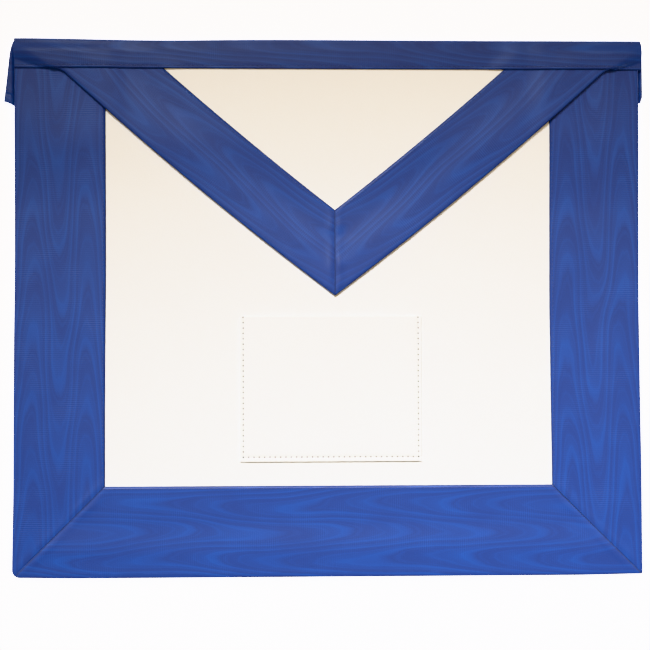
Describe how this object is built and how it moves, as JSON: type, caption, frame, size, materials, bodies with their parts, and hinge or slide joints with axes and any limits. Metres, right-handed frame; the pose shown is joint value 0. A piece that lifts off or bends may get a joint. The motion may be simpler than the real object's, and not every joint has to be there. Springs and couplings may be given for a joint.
{
  "type": "masonic apron",
  "caption": "Flat white leather ceremonial apron with a mitred blue moire ribbon border, a pointed ribbon-edged flap, a patch pocket and a folded ribbon waistband.",
  "frame": {"origin": "middle of the apron's whole outline, ends of the waistband included, on the flat surface that its back rests on", "axes": "+X to the right of someone looking at the front, +Y towards the waist fold, +Z out of the front"},
  "size_m": [0.363, 0.3048, 0.0091],
  "materials": {
    "white_leather": "smooth white lambskin with a fine grain and a low sheen",
    "moire_ribbon": "stiff ribbed royal-blue moire ribbon with watered markings and a soft silky sheen"
  },
  "bodies": {
    "root": {"body_panel": "white_leather", "pocket": "white_leather", "flap_panel": "white_leather", "border_left": "moire_ribbon", "border_right": "moire_ribbon", "border_bottom": "moire_ribbon", "flap_ribbon_left": "moire_ribbon", "flap_ribbon_right": "moire_ribbon", "waistband": "moire_ribbon"}
  },
  "joints": []
}
